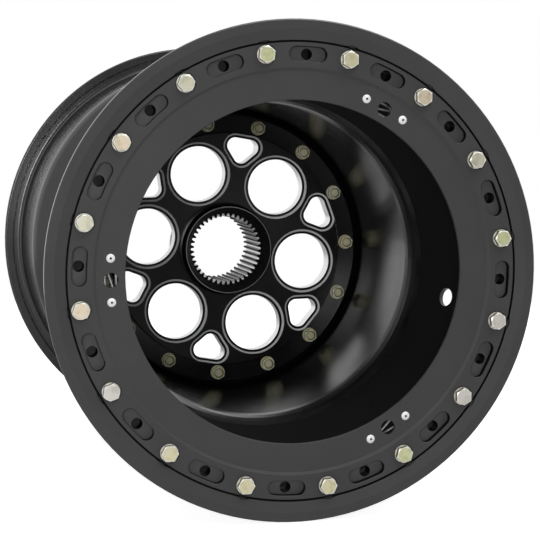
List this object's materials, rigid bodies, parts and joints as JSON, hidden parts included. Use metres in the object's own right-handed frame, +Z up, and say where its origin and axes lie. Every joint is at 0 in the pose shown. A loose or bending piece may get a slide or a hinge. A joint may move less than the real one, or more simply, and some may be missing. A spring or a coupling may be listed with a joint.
{
  "type": "sprint car wheel",
  "caption": "Wide bolted beadlock wheel: two spun barrel halves on a dished splined centre with round openings, and a slotted clamp ring over the outer bead.",
  "frame": {"origin": "centre of the bounding box, on the wheel's spin axis", "axes": "+Y along the spin axis towards the inner lip, so that the clamp ring's face looks towards -Y; +Z up as the wheel stands on its axle; +X to the right as seen on the clamp ring's face"},
  "size_m": [0.4159, 0.461, 0.416],
  "materials": {
    "grey_powder_coat": "satin charcoal powder coat over aluminium",
    "black_powder_coat": "satin black powder coat over aluminium",
    "black_centre_coat": "satin black coat over aluminium, with a bare machined spline",
    "gold_zinc": "yellow zinc plating",
    "insert_steel": "plain plated steel",
    "sealant": "cured grey sealant",
    "spring_wire": "bright spring wire",
    "rivet_aluminium": "bare aluminium"
  },
  "bodies": {
    "root": {"clamp_ring": "grey_powder_coat", "bead_ring": "grey_powder_coat", "outer_half": "black_powder_coat", "inner_half": "black_powder_coat", "wheel_centre": "black_centre_coat", "clamp_bolts": "gold_zinc", "clamp_washers": "gold_zinc", "clamp_inserts": "insert_steel", "centre_bolts": "gold_zinc", "centre_washers": "gold_zinc", "centre_nuts": "gold_zinc", "joint_seal": "sealant", "cover_spring_1": "spring_wire", "cover_spring_2": "spring_wire", "cover_spring_3": "spring_wire", "spring_rivet_1": "rivet_aluminium", "spring_rivet_2": "rivet_aluminium", "spring_rivet_3": "rivet_aluminium", "spring_rivet_4": "rivet_aluminium", "spring_rivet_5": "rivet_aluminium", "spring_rivet_6": "rivet_aluminium"}
  },
  "joints": []
}
